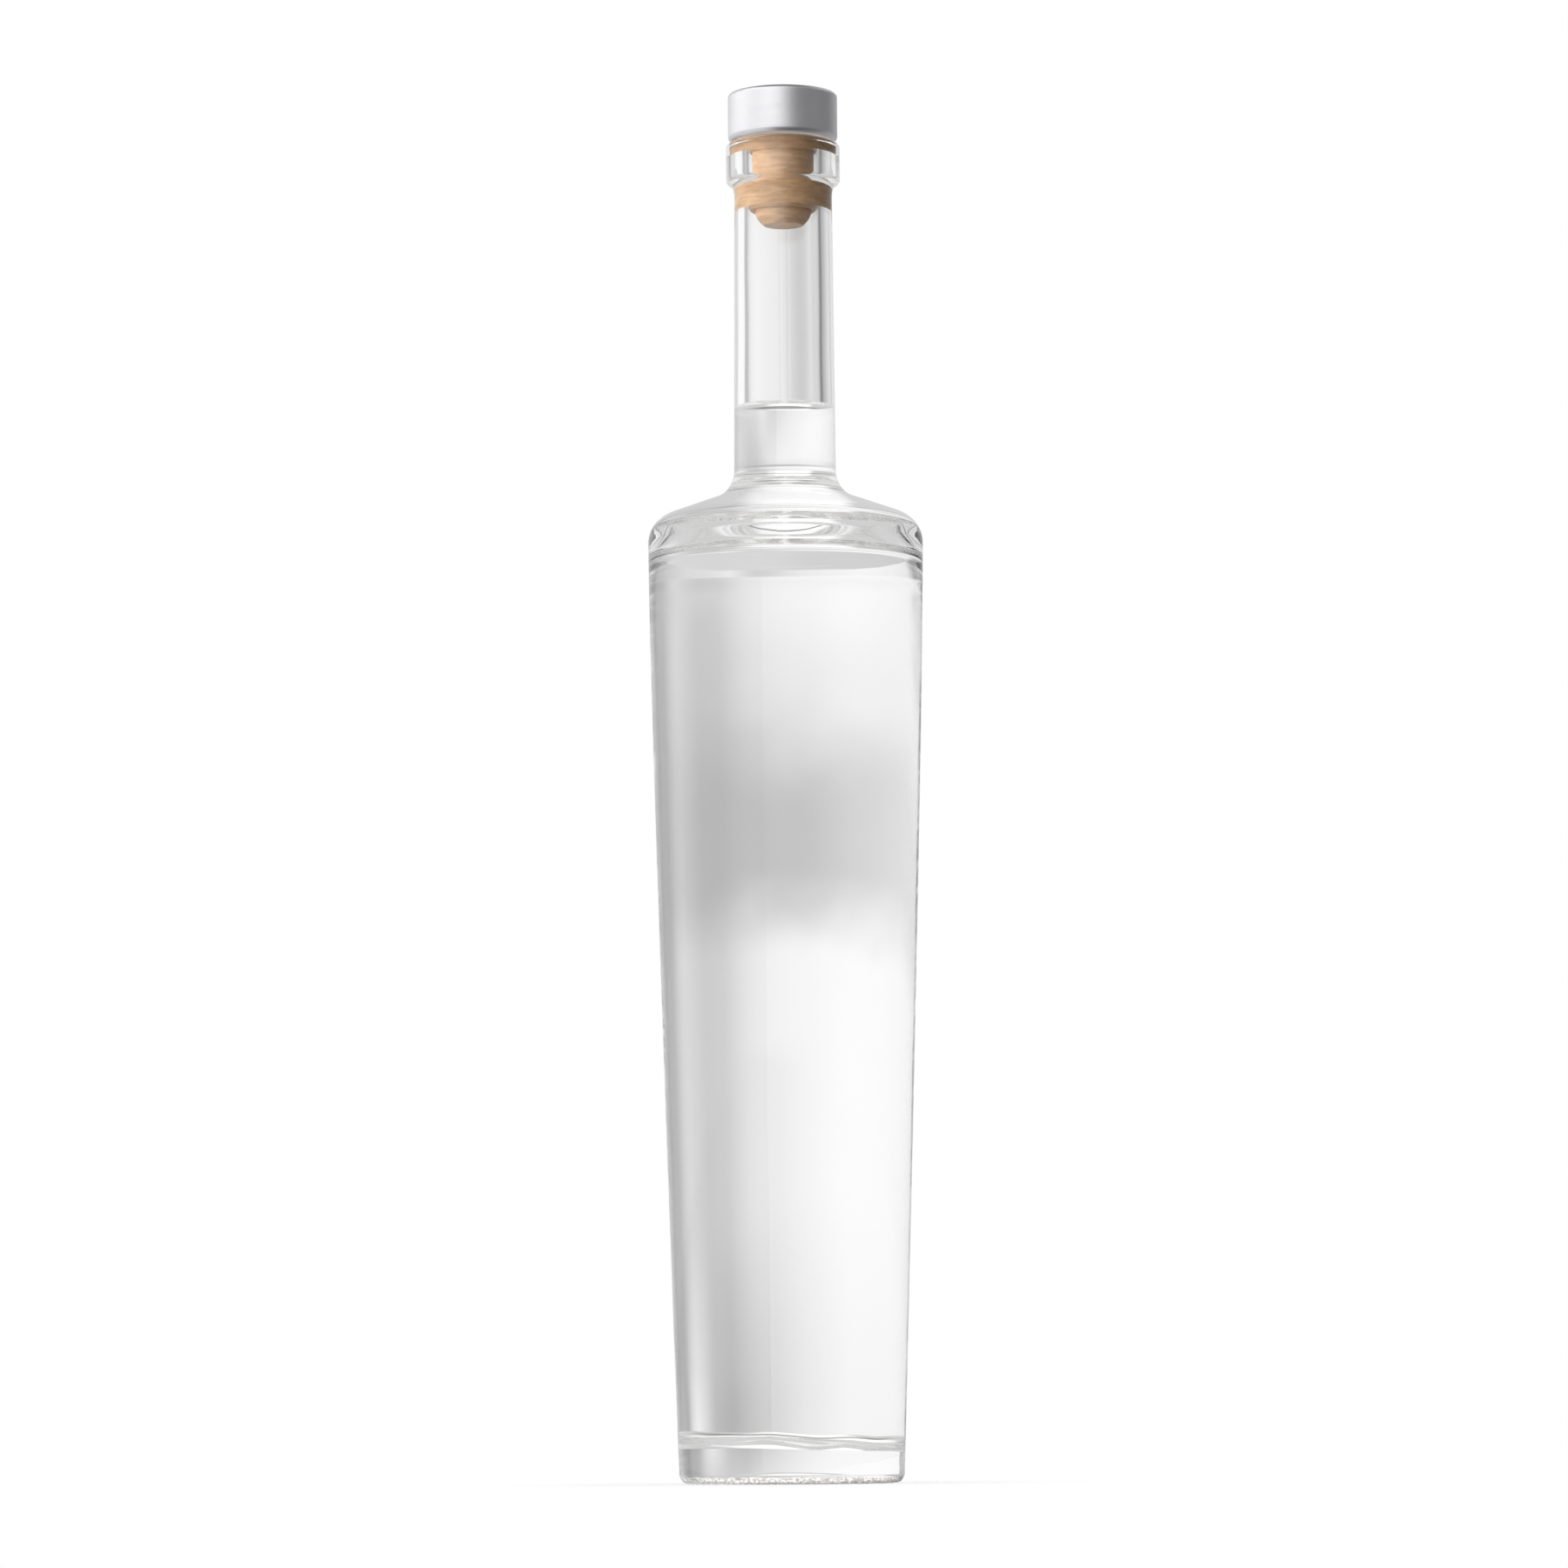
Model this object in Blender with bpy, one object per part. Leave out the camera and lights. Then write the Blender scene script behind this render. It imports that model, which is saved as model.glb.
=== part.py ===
"""Clear glass spirit bottle with a bar-top stopper, closed and filled into the neck.

Metres, +Z up. The origin is the centre of the base, on the plane that the bottle stands on.
Every piece is turned about the Z axis, so each one is a profile of (radius, height) points.
"""

import math

import bmesh
import bpy

# Turning
SIDES = 48
ARC_STEPS = 6
SIDE_STEPS = 9
SMOOTH_ANGLE = math.radians(32)
WELD_DISTANCE = 0.000001

# Clearance between pieces that touch on the real object
GAP = 0.0003

# Glass body
BASE_RADIUS = 0.0294
SHOULDER_RADIUS = 0.03637
BODY_HEIGHT = 0.2473
SWELL_HEIGHT_SHARE = 0.804
SWELL_RADIUS_SHARE = 0.944
CORNER_RADIUS = 0.0079
SHOULDER_SLOPE = math.radians(20)
SHOULDER_WALL = 0.0031
HEEL_WALL = 0.0038

# Glass foot
HEEL_RADIUS = 0.0024
BEARING_WIDTH = 0.0042
PUNT_DEPTH = 0.0035
PUNT_EDGE_SHARE = 0.55
FLOOR_HEIGHT = 0.0095
FLOOR_CORNER_RADIUS = 0.0040
FLOOR_DOME = 0.0015

# Glass neck
NECK_FILLET_RADIUS = 0.0079
NECK_LENGTH = 0.0732
NECK_BOTTOM_RADIUS = 0.0135
NECK_TOP_RADIUS = 0.0130
BORE_BOTTOM_RADIUS = 0.0097
BORE_TOP_RADIUS = 0.00925

# Finish ring and lip
RING_RADIUS = 0.0151
RING_HEIGHT = 0.0112
RING_FLARE_HEIGHT = 0.0034
RING_EDGE_RADIUS = 0.0014
LIP_EDGE_RADIUS = 0.0010

# Spirit
ULLAGE = 0.0715

# Stopper head
CAP_RADIUS = 0.01455
CAP_HEIGHT = 0.0131
CAP_WALL = 0.0005
CAP_EDGE_RADIUS = 0.0012
SPIGOT_RADIUS = 0.0045
SPIGOT_LENGTH = 0.0060

# Stopper shank
COLLAR_LENGTH = 0.0035
SHANK_RADIUS = 0.0082
SHANK_LENGTH = 0.0101
SEAL_LENGTH = 0.0087
SEAL_RIBS = 3
RIB_DEPTH = 0.00035
NOSE_LENGTH = 0.0038
NOSE_TOP_RADIUS = 0.0075
NOSE_END_RADIUS = 0.0052

# Places that follow from the sizes
CORNER_CENTRE = (SHOULDER_RADIUS - CORNER_RADIUS, BODY_HEIGHT)
FILLET_CENTRE_RADIUS = NECK_BOTTOM_RADIUS + NECK_FILLET_RADIUS


def on_arc(centre, radius, angle):
    """Point of a round edge, at an angle from the outward direction."""
    return (centre[0] + radius * math.cos(angle), centre[1] + radius * math.sin(angle))


def arc(centre, radius, start, end, steps=ARC_STEPS):
    """Points of a round edge between two angles."""
    turns = [start + (end - start) * step / steps for step in range(steps + 1)]
    return [on_arc(centre, radius, angle) for angle in turns]


def bend(start, control, end, steps):
    """Points of a gentle curve that leaves start and reaches end in line with control."""
    points = []
    for step in range(steps + 1):
        t = step / steps
        weights = ((1 - t) ** 2, 2 * t * (1 - t), t ** 2)
        radius = sum(w * p[0] for w, p in zip(weights, (start, control, end)))
        height = sum(w * p[1] for w, p in zip(weights, (start, control, end)))
        points.append((radius, height))
    return points


def fillet_centre():
    """Centre of the hollow curve between the shoulder's cone and the neck."""
    cone_start = on_arc(CORNER_CENTRE, CORNER_RADIUS, math.pi / 2 - SHOULDER_SLOPE)
    run = cone_start[0] + NECK_FILLET_RADIUS * math.sin(SHOULDER_SLOPE) - FILLET_CENTRE_RADIUS
    rise = run * math.tan(SHOULDER_SLOPE)
    height = cone_start[1] + rise + NECK_FILLET_RADIUS * math.cos(SHOULDER_SLOPE)
    return (FILLET_CENTRE_RADIUS, height)


FILLET_CENTRE = fillet_centre()
NECK_TOP = FILLET_CENTRE[1] + NECK_LENGTH
RING_BOTTOM = NECK_TOP + RING_FLARE_HEIGHT
MOUTH = RING_BOTTOM + RING_HEIGHT
FILL_LINE = MOUTH - ULLAGE
HEAD_BOTTOM = MOUTH + GAP
CAP_TOP = HEAD_BOTTOM + CAP_HEIGHT
SEAL_RADIUS = BORE_TOP_RADIUS - GAP
COLLAR_BOTTOM = HEAD_BOTTOM - COLLAR_LENGTH
SEAL_TOP = HEAD_BOTTOM - SHANK_LENGTH
SEAL_BOTTOM = SEAL_TOP - SEAL_LENGTH
NOSE_END = SEAL_BOTTOM - NOSE_LENGTH


def bore_radius(height):
    """Radius of the neck's bore, which widens evenly from the lip down."""
    share = (MOUTH - height) / (MOUTH - FILLET_CENTRE[1])
    return BORE_TOP_RADIUS + (BORE_BOTTOM_RADIUS - BORE_TOP_RADIUS) * share


def side_line(inset_top, inset_bottom, bottom):
    """Side of the body from the shoulder down to a height, inside the outer face by two walls."""
    swell_radius = BASE_RADIUS + (SHOULDER_RADIUS - BASE_RADIUS) * SWELL_RADIUS_SHARE
    swell_height = BODY_HEIGHT * SWELL_HEIGHT_SHARE
    swell_inset = inset_bottom + (inset_top - inset_bottom) * SWELL_HEIGHT_SHARE
    top = (SHOULDER_RADIUS - inset_top, BODY_HEIGHT)
    control = (swell_radius - swell_inset, swell_height)
    base = (BASE_RADIUS - inset_bottom, 0)
    return [point for point in bend(top, control, base, SIDE_STEPS) if point[1] > bottom]


def shoulder_line(corner_radius, fillet_radius):
    """Shoulder from the top of the side to the foot of the neck, at one depth in the glass."""
    corner = arc(CORNER_CENTRE, corner_radius, 0, math.pi / 2 - SHOULDER_SLOPE)
    fillet = arc(FILLET_CENTRE, fillet_radius, -math.pi / 2 - SHOULDER_SLOPE, -math.pi)
    return corner + fillet


def cavity_line(inset):
    """Inside of the glass from the middle of the floor up to the foot of the neck."""
    wall = HEEL_WALL + inset
    corner = FLOOR_CORNER_RADIUS
    floor = FLOOR_HEIGHT + inset
    taper = (SHOULDER_RADIUS - BASE_RADIUS) / BODY_HEIGHT
    edge = BASE_RADIUS - wall + (floor + corner) * taper
    centre = (edge - corner, floor + corner)
    dome = [(0, floor + FLOOR_DOME), (centre[0] / 2, floor + FLOOR_DOME * 3 / 4)]
    heel = arc(centre, corner, -math.pi / 2, 0)
    side = side_line(SHOULDER_WALL + inset, wall, floor + corner * 2)
    neck_wall = NECK_BOTTOM_RADIUS - BORE_BOTTOM_RADIUS
    roof = shoulder_line(CORNER_RADIUS - SHOULDER_WALL - inset, NECK_FILLET_RADIUS + neck_wall + inset)
    return dome + heel + side[:0:-1] + roof


def glass_profile():
    """Bottle glass, from the floor inside, up over the lip and down to the punt."""
    inside = cavity_line(0) + [(BORE_TOP_RADIUS, MOUTH - LIP_EDGE_RADIUS)]
    lip_centre = (BORE_TOP_RADIUS + LIP_EDGE_RADIUS, MOUTH - LIP_EDGE_RADIUS)
    lip = arc(lip_centre, LIP_EDGE_RADIUS, math.pi, math.pi / 2, ARC_STEPS // 2)
    ring_top = (RING_RADIUS - RING_EDGE_RADIUS, MOUTH - RING_EDGE_RADIUS)
    ring = arc(ring_top, RING_EDGE_RADIUS, math.pi / 2, 0, ARC_STEPS // 2 + 1)
    ring_bottom = (RING_RADIUS - RING_EDGE_RADIUS, RING_BOTTOM + RING_EDGE_RADIUS)
    ring += arc(ring_bottom, RING_EDGE_RADIUS, 0, -math.pi / 4, ARC_STEPS // 2)
    flare = bend(ring[-1], (NECK_TOP_RADIUS, RING_BOTTOM), (NECK_TOP_RADIUS, NECK_TOP), ARC_STEPS // 2)
    shoulder = shoulder_line(CORNER_RADIUS, NECK_FILLET_RADIUS)[::-1]
    side = side_line(0, 0, HEEL_RADIUS * 2)[1:]
    heel = arc((BASE_RADIUS - HEEL_RADIUS, HEEL_RADIUS), HEEL_RADIUS, 0, -math.pi / 2)
    punt_radius = BASE_RADIUS - HEEL_RADIUS - BEARING_WIDTH
    punt = bend((punt_radius, 0), (punt_radius * PUNT_EDGE_SHARE, PUNT_DEPTH), (0, PUNT_DEPTH), ARC_STEPS // 2)
    return inside + lip[1:] + ring + flare[1:] + shoulder + side + heel + punt


def spirit_profile():
    """Spirit, a gap inside the glass all round, with a level top in the neck."""
    fill_edge = (bore_radius(FILL_LINE) - GAP, FILL_LINE)
    return cavity_line(GAP) + [fill_edge, (0, FILL_LINE)]


def cap_shell_profile():
    """Drawn aluminium cup, open at the bottom."""
    edge_centre = (CAP_RADIUS - CAP_EDGE_RADIUS, CAP_TOP - CAP_EDGE_RADIUS)
    outside = [(0, CAP_TOP)] + arc(edge_centre, CAP_EDGE_RADIUS, math.pi / 2, 0)
    inner_radius = CAP_EDGE_RADIUS - CAP_WALL
    inside = arc(edge_centre, inner_radius, 0, math.pi / 2, ARC_STEPS // 2)
    rims = [(CAP_RADIUS, HEAD_BOTTOM), (CAP_RADIUS - CAP_WALL, HEAD_BOTTOM)]
    return outside + rims + inside + [(0, CAP_TOP - CAP_WALL)]


def head_profile():
    """Moulded core of the stopper's head, with a socket for the shank's spigot."""
    radius = CAP_RADIUS - CAP_WALL - GAP
    top = CAP_TOP - CAP_WALL - GAP
    edge = CAP_EDGE_RADIUS - CAP_WALL
    socket_radius = SPIGOT_RADIUS + GAP
    socket_top = HEAD_BOTTOM + SPIGOT_LENGTH + GAP
    outside = [(0, top), (radius - edge, top), (radius, top - edge), (radius, HEAD_BOTTOM)]
    socket = [(socket_radius, HEAD_BOTTOM), (socket_radius, socket_top), (0, socket_top)]
    return outside + socket


def shank_profile():
    """Moulded shank: spigot, collar, slim upper part, ribbed sealing band and round nose."""
    seat = HEAD_BOTTOM - GAP
    points = [(0, HEAD_BOTTOM + SPIGOT_LENGTH), (SPIGOT_RADIUS, HEAD_BOTTOM + SPIGOT_LENGTH)]
    points += [(SPIGOT_RADIUS, seat), (SEAL_RADIUS, seat), (SEAL_RADIUS, COLLAR_BOTTOM)]
    points += [(SHANK_RADIUS, COLLAR_BOTTOM), (SHANK_RADIUS, SEAL_TOP)]
    pitch = SEAL_LENGTH / SEAL_RIBS
    for rib in range(SEAL_RIBS):
        top = SEAL_TOP - pitch * rib
        points.append((SEAL_RADIUS - RIB_DEPTH, top))
        points.append((SEAL_RADIUS, top - pitch / 4))
        points.append((SEAL_RADIUS, top - pitch * 3 / 4))
    points.append((SEAL_RADIUS - RIB_DEPTH, SEAL_BOTTOM))
    points += bend((NOSE_TOP_RADIUS, SEAL_BOTTOM), (NOSE_TOP_RADIUS, SEAL_BOTTOM - NOSE_LENGTH / 2),
                   (NOSE_END_RADIUS, NOSE_END), ARC_STEPS // 2)
    points.append((0, NOSE_END))
    return points


def finish(name, colour, roughness, metallic=0.0, transmission=0.0):
    """Plain material with one colour and one shine."""
    material = bpy.data.materials.new(name)
    material.use_nodes = True
    shader = material.node_tree.nodes["Principled BSDF"]
    shader.inputs["Base Color"].default_value = (*colour, 1)
    shader.inputs["Roughness"].default_value = roughness
    shader.inputs["Metallic"].default_value = metallic
    shader.inputs["Transmission Weight"].default_value = transmission
    return material


def turned(name, profile, material):
    """One solid of revolution about the Z axis, with its outward faces shaded smooth."""
    mesh = bpy.data.meshes.new(name)
    model = bmesh.new()
    corners = [model.verts.new((radius, 0, height)) for radius, height in profile]
    edges = [model.edges.new(pair) for pair in zip(corners, corners[1:])]
    bmesh.ops.spin(model, geom=corners + edges, axis=(0, 0, 1), cent=(0, 0, 0),
                   angle=2 * math.pi, steps=SIDES, use_merge=True)
    bmesh.ops.remove_doubles(model, verts=model.verts, dist=WELD_DISTANCE)
    bmesh.ops.recalc_face_normals(model, faces=model.faces)
    model.to_mesh(mesh)
    model.free()
    mesh.shade_smooth()
    mesh.set_sharp_from_angle(angle=SMOOTH_ANGLE)
    mesh.materials.append(material)
    piece = bpy.data.objects.new(name, mesh)
    bpy.context.scene.collection.objects.link(piece)
    return piece


def clear_scene():
    """Remove every object that the scene starts with."""
    for item in list(bpy.data.objects):
        bpy.data.objects.remove(item, do_unlink=True)


def build():
    """Make the bottle and its spirit, and the stopper under an empty on the pulling axis."""
    clear_scene()
    clear_glass = finish("clear_glass", (0.94, 0.96, 0.95), 0.02, transmission=1.0)
    clear_spirit = finish("clear_spirit", (0.97, 0.98, 0.98), 0.01, transmission=1.0)
    satin_aluminium = finish("satin_aluminium", (0.66, 0.66, 0.69), 0.32, metallic=1.0)
    tan_head = finish("tan_head", (0.46, 0.28, 0.15), 0.55)
    tan_shank = finish("tan_shank", (0.58, 0.39, 0.24), 0.5)
    turned("glass_bottle", glass_profile(), clear_glass)
    turned("spirit", spirit_profile(), clear_spirit)
    stopper = bpy.data.objects.new("stopper", None)
    bpy.context.scene.collection.objects.link(stopper)
    cap_shell = turned("cap_shell", cap_shell_profile(), satin_aluminium)
    head = turned("stopper_head", head_profile(), tan_head)
    shank = turned("stopper_shank", shank_profile(), tan_shank)
    for piece in (cap_shell, head, shank):
        piece.parent = stopper


build()
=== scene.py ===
import math

import bmesh
import bpy
from mathutils import Matrix, Vector, noise


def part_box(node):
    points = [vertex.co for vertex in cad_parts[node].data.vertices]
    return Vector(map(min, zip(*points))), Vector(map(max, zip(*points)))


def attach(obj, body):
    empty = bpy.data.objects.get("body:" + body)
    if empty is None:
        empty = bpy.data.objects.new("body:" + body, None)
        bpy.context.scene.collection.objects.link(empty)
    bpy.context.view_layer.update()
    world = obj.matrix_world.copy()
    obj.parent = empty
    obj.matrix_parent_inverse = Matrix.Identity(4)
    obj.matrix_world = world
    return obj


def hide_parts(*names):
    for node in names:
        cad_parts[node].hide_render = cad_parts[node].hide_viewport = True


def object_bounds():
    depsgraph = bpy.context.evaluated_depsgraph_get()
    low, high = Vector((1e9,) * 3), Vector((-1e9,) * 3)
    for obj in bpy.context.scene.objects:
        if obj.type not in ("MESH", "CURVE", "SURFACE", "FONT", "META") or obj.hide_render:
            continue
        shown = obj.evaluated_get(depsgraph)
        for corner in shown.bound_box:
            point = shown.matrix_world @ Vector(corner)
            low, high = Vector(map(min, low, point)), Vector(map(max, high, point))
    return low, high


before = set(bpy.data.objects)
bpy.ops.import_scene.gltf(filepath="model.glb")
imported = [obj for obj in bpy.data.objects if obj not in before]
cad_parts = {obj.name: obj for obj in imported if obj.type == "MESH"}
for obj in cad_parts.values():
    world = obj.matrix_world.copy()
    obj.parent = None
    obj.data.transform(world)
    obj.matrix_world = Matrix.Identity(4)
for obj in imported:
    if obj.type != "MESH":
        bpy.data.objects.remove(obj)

CAD_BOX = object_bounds()

# Lengths are in metres and angles in radians. Sizes that the frame holds are read from it.
GLASS_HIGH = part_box("glass_bottle")[1]
SPIRIT_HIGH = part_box("spirit")[1]
CAP_LOW, CAP_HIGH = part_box("cap_shell")
SHANK_LOW, SHANK_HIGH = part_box("stopper_shank")

# Turning: sides round the axis, with closer ones across each seam of the mould
SIDES = 288
SEAM_STEPS = 3
SEAM_STEP_SHARE = 0.27
SHORTEST_STEP_SHARE = 0.2
ARC_STEPS = 12
SIDE_STEPS = 40
CREASE_ANGLE = math.radians(38)
WELD = 0.000001

# Glass body
SHOULDER_RADIUS = GLASS_HIGH.x
MOUTH = GLASS_HIGH.z
BASE_RADIUS = 0.0294
BODY_HEIGHT = 0.2473
SWELL_HEIGHT_SHARE = 0.804
SWELL_RADIUS_SHARE = 0.944
CORNER_RADIUS = 0.0079
SHOULDER_SLOPE = math.radians(20)
SHOULDER_WALL = 0.0031
HEEL_WALL = 0.0038
CAVITY_CORNER_HEIGHT = 0.2405
CAVITY_CORNER_RADIUS = 0.0052

# Glass foot
HEEL_RADIUS = 0.0024
BEARING_WIDTH = 0.0042
PUNT_DEPTH = 0.0035
PUNT_EDGE_SHARE = 0.55
FLOOR_HEIGHT = 0.0095
FLOOR_CORNER_RADIUS = 0.0040
FLOOR_DOME = 0.0015

# Glass neck and lip
NECK_FILLET_RADIUS = 0.0079
NECK_BOTTOM_RADIUS = 0.0135
NECK_TOP_RADIUS = 0.0130
BORE_BOTTOM_RADIUS = 0.0097
BORE_TOP_RADIUS = 0.00925
RING_RADIUS = 0.0151
RING_HEIGHT = 0.0112
RING_FLARE_HEIGHT = 0.0034
RING_EDGE_RADIUS = 0.0014
LIP_EDGE_RADIUS = 0.0010

# Marks that blowing leaves in the glass. A wave's circle sets how many swells there are round the glass.
SEAM_ANGLE = math.radians(-85)
SEAM_HALF_WIDTH = 0.00022
SEAM_RISE = 0.000018
WALL_WAVE = 0.00012
WALL_WAVE_HEIGHT = 0.026
WALL_WAVE_CIRCLE = 1.3
SKIN_WAVE = 0.00002
SKIN_WAVE_HEIGHT = 0.018
SKIN_WAVE_CIRCLE = 1.7
FLOOR_TILT = math.radians(2.6)
FLOOR_TILT_REACH = 0.020
FLOOR_RIPPLE = 0.0007
FLOOR_RIPPLE_SIZE = 0.011
STIPPLES = 96
STIPPLE_DEPTH = 0.00035
STIPPLE_EDGE_SHARE = 0.35
HEEL_PIT_DEPTH = 0.00032
HEEL_PIT_SIZE = 0.0010
HEEL_PIT_FADE_SHARES = (0.5, 0.9)

# Spirit
FILL_LINE = SPIRIT_HIGH.z
WET_GAP = 0.00002
MENISCUS_RISE = 0.0011
MENISCUS_WIDTH = 0.0011

# Stopper
CAP_RADIUS = CAP_HIGH.x
CAP_TOP = CAP_HIGH.z
HEAD_BOTTOM = CAP_LOW.z
CAP_WALL = 0.0005
CAP_EDGE_RADIUS = 0.0012
CAP_RIM_RADIUS = 0.0017
TOUCH_GAP = 0.00005
SHANK_RADIUS = 0.0082
SHANK_LENGTH = 0.0101
COLLAR_LENGTH = 0.0035
COLLAR_EDGE = 0.0004
SPIGOT_RADIUS = 0.0045
SEAL_LENGTH = 0.0087
SEAL_PRESS = 0.00005
SEAL_RIBS = 3
BAND_EDGE = 0.0007
GROOVE_DEPTH = 0.000035
GROOVE_HALF_WIDTH = 0.00025
NOSE_TOP_RADIUS = 0.0075
NOSE_END_RADIUS = 0.0052
NOSE_END_DISH = 0.0003
NOSE_RIM_SHARE = 0.9

# How much light bends in the clear pieces
GLASS_INDEX = 1.5
SPIRIT_INDEX = 1.36

# Textures, each as its stretch by axis, scale, detail and, where it isn't a half, roughness
GLASS_RIPPLE = ((1, 1, 0.45), 70, 1.5)
GLASS_HAZE = ((1, 1, 1), 160, 3)
GLASS_TONE = ((1, 1, 0.3), 22, 2)
HEEL_SHADE_TEXTURE = ((1, 1, 1), 1300, 2)
SPIRIT_SWIRL = ((1, 1, 0.4), 30, 1)
METAL_LINES = ((1, 1, 45), 90, 4, 0.65)
METAL_CLOUD = ((1, 1, 1), 140, 3)
METAL_GRAIN = ((1, 1, 1), 5200, 1)
CORE_MOTTLE = ((1, 1, 3), 260, 5, 0.6)
PLUG_MOTTLE = ((1, 1, 4), 260, 5, 0.6)
STOPPER_GROOVE_SHADE = ((0.12, 0.12, 1), 620, 2)
STOPPER_FLECKS = ((1, 1, 2.2), 1500, 2)
STOPPER_PORES = ((1, 1, 1), 3000, 3)

# Surfaces: colours in pairs, the part of a texture's range over which a change runs, and how far it goes
WHITE = (1, 1, 1, 1)
MIDDLE_SHARES = (0.3, 0.7)
GLASS_COLOURS = ((0.988, 0.988, 0.987, 1), (0.999, 1.0, 0.999, 1))
GLASS_RELIEF = 0.00006
HAZE_SHARES = (0.55, 0.8)
HAZE_ROUGHNESS = 0.012
# Painted shade: a grey-brown tint in the stippled foot stands in for the floor's contact shade seen through
# the heel. The foot is also rougher there.
HEEL_SHADE_COLOUR = (0.40, 0.355, 0.31, 1)
HEEL_SHADE_HEIGHTS = (0.0012, 0.0021)
HEEL_SHADE_SHARES = (0.43, 0.57)
STIPPLED_FOOT_ROUGHNESS = 0.22
SPIRIT_COLOURS = ((0.992, 0.993, 0.992, 1), WHITE)
METAL_COLOURS = ((0.70, 0.70, 0.73, 1), (0.78, 0.775, 0.79, 1))
METAL_RELIEF = 0.000012
METAL_LINE_SHARE = 0.6
METAL_ROUGHNESS = (0.27, 0.36)
METAL_GRAIN_ROUGHNESS = 0.06
# Painted shade: the core has the plug's cork colour, painted darker for the shade under the cap.
SHADED_CORE_COLOURS = ((0.42, 0.215, 0.09, 1), (0.60, 0.34, 0.165, 1))
PLUG_COLOURS = ((0.58, 0.32, 0.14, 1), (0.79, 0.49, 0.26, 1))
# Painted shade: dark lines round the stopper that stand in for the shade in its grooves.
GROOVE_SHADE_COLOUR = (0.36, 0.19, 0.08, 1)
GROOVE_SHADE_SHARES = (0.56, 0.68)
GROOVE_SHADE_STRENGTH_SHARE = 0.35
FLECK_COLOUR = (0.22, 0.11, 0.05, 1)
FLECK_SHARES = (0.66, 0.76)
FLECK_STRENGTH_SHARE = 0.55
STOPPER_RELIEF = 0.00009
STOPPER_PORE_SHARE = 0.5
STOPPER_ROUGHNESS = (0.42, 0.6)
STOPPER_GLOSS = 0.8

# Camera, from the photograph's own frame of 1800 by 1800 pixels. Its top line is the cap's top edge, which
# lies at a share of the cap's radius.
FRAME_PIXELS = 1800
TOP_PIXEL = 97
BOTTOM_PIXEL = 1703
TOP_EDGE_SHARE = 0.9
CAMERA_DISTANCE = 1.731
CAMERA_HEIGHT = 0.015
CAMERA_ROLL = math.radians(-0.40)
AXIS_PIXEL = 903.7
SENSOR_WIDTH = 36

# Lamps, each as its place, the width and height of its face, and its power
KEY_LAMP = ((-0.95, -0.75, 0.85), (0.6, 1.1), 18)
TOP_LAMP = ((0.1, -0.2, 1.5), (0.8, 0.8), 6)
LAMP_TARGET_SHARE = 0.8

# Studio. Azimuths are in degrees from straight behind the bottle, positive to the right, and elevations are
# in degrees too. A tone is a brightness before the level of the cards, and lists of tones run by azimuth. A
# unit brings its lists into a range of about 0 to 1 while they are looked up.
CARD_LEVEL = 1.06
ROOM_TONE = 0.30
TONE_UNIT = 1.5
FRONT_LEFT_TONES = ((-180, 1.12), (-171, 1.28), (-157, 1.38), (-125, 1.12), (-108, 1.14), (-89, 1.30))
FRONT_RIGHT_TONES = ((100, 0.25), (144, 0.25), (160, 0.40), (173, 0.84), (180, 1.02))
METAL_TONES = FRONT_LEFT_TONES + ((-65, 1.24), (-40, 0.95), (40, 0.40), (70, 0.20)) + FRONT_RIGHT_TONES
LOW_TONES = FRONT_LEFT_TONES + (
    (-70, 0.95), (-54, 0.88), (-38, 0.92), (-16, 0.92), (-9.6, 0.87), (-3, 0.80), (3, 0.70), (9.6, 0.56),
    (16, 0.43), (23, 0.50), (28, 0.74), (33, 0.90), (37, 0.76), (42, 0.38), (54, 0.46),
    (80, 0.42)) + FRONT_RIGHT_TONES
CLEAR_TONES = FRONT_LEFT_TONES + (
    (-70, 0.97), (-38, 0.98), (-16, 0.98), (-9.6, 0.96), (-3, 0.91), (3, 0.86), (9.6, 0.77), (16, 0.61),
    (23, 0.58), (28, 0.63), (33, 0.68), (37, 0.62), (44, 0.40), (54, 0.30),
    (80, 0.38)) + FRONT_RIGHT_TONES
UPPER_TONES = FRONT_LEFT_TONES + (
    (-72, 1.20), (-62, 0.50), (-50, 0.42), (-42, 0.90), (-17, 0.96), (-9, 0.90), (-3, 0.83), (0, 0.73),
    (3.5, 0.62), (6, 0.58), (9, 0.66), (13, 0.82), (18, 0.72), (28, 0.66), (42, 0.50), (58, 0.30),
    (70, 0.55)) + FRONT_RIGHT_TONES
LOW_TO_CLEAR = (1.2, 3.6)
CLEAR_TO_UPPER = (7.9, 8.7)

# Studio: the cards' ragged side edges and their tops
EDGE_SHARES = (
    (-180, 1.0), (-122, 1.0), (-92, 0.42), (-74, 0.34), (-66, 0.34), (-64, 0.97), (51, 0.97), (55, 0.70),
    (63, 0.70), (72, 0.97), (180, 1.0))
EDGE_RAGGED_SCALE = 1.8
EDGE_RAGGED_REACH = 7
CARD_TOPS = (
    (-180, 30), (-60, 27), (-47, 20), (-37, 16), (-25, 12.5), (-16, 11.2), (0, 10.8), (16, 11.2), (25, 12.5),
    (37, 16), (47, 20), (60, 27), (180, 30))
CARD_TOP_UNIT = 45
CARD_EDGE_SOFTNESS = 0.6

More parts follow.
